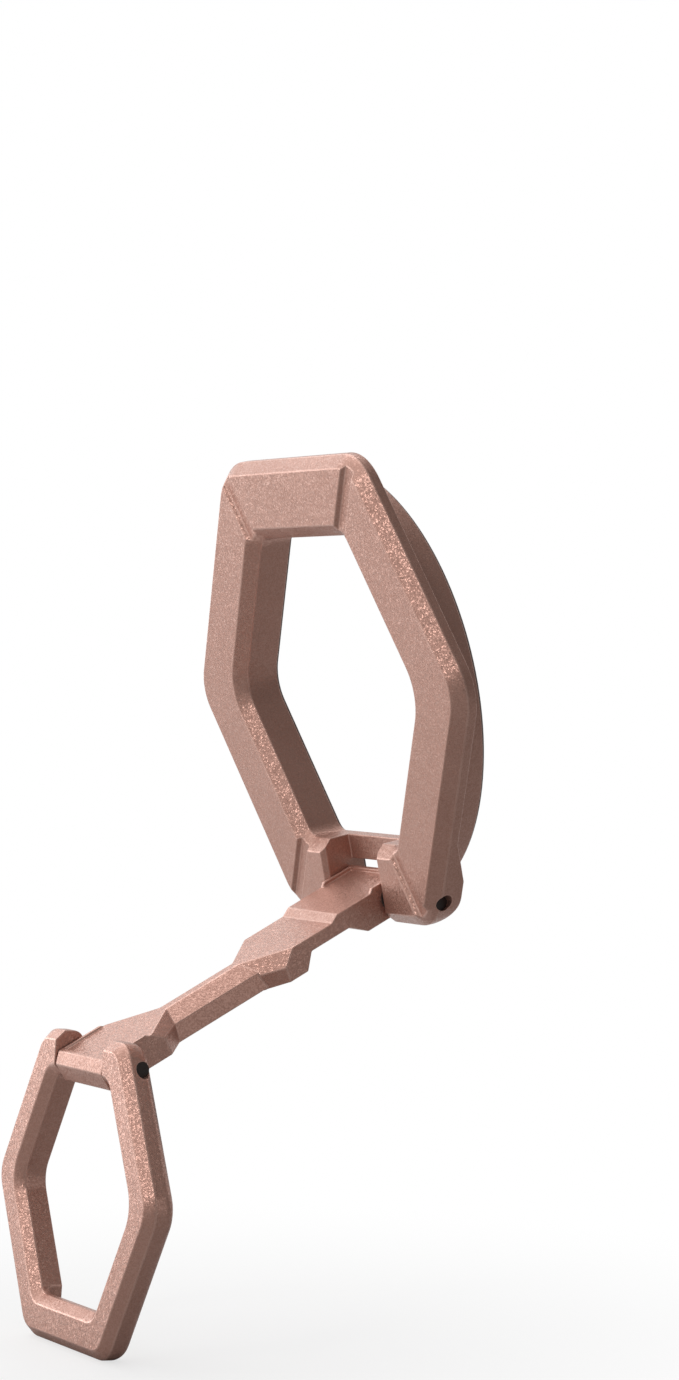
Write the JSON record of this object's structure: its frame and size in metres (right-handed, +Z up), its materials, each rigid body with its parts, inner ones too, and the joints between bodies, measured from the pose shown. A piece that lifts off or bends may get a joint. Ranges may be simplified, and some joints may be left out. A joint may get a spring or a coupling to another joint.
{
  "type": "magnetic phone ring stand",
  "caption": "Magnet-backed hexagon ring for the back of a phone, with a hinged arm and a smaller hinged hexagon loop that props the phone up or serves as a finger grip.",
  "frame": {"origin": "centre of the magnet face, in the middle of the ring's opening, on the outer surface of the pad", "axes": "+X along both hinge pins, +Z up with the loop standing on its lower edge, -Y the side the arm reaches out to; the magnet face looks to +Y and leans back 11 degrees"},
  "size_m": [0.0644, 0.0463, 0.1062],
  "materials": {
    "rose_metal": "fine blasted and anodised, satin",
    "pad": "matt, soft",
    "yoke": "plain sheet",
    "magnet": "nickel plated",
    "pin": "dull ground",
    "washer": "matt"
  },
  "bodies": {
    "base": {"base_frame": "rose_metal", "face_pad": "pad", "yoke_plate": "yoke", "magnet_01": "magnet", "magnet_02": "magnet", "magnet_03": "magnet", "magnet_04": "magnet", "magnet_05": "magnet", "magnet_06": "magnet", "magnet_07": "magnet", "magnet_08": "magnet", "magnet_09": "magnet", "magnet_10": "magnet", "magnet_11": "magnet", "magnet_12": "magnet", "magnet_13": "magnet", "magnet_14": "magnet", "magnet_15": "magnet", "magnet_16": "magnet", "base_hinge_pin": "pin"},
    "arm": {"arm": "rose_metal", "base_washer_left": "washer", "base_washer_right": "washer", "loop_washer_left": "washer", "loop_washer_right": "washer"},
    "loop": {"loop": "rose_metal", "loop_hinge_pin": "pin"}
  },
  "joints": [
    {"name": "arm_hinge", "type": "hinge", "parent": "base", "child": "arm", "pos_m": [0, 0.0009, -0.02611], "axis": [-1, 0, 0], "range_deg": [-74.5, 101.5]},
    {"name": "loop_hinge", "type": "hinge", "parent": "arm", "child": "loop", "pos_m": [0, -0.03615, -0.04458], "axis": [1, 0, 0], "range_deg": [-25, 120.8]}
  ]
}
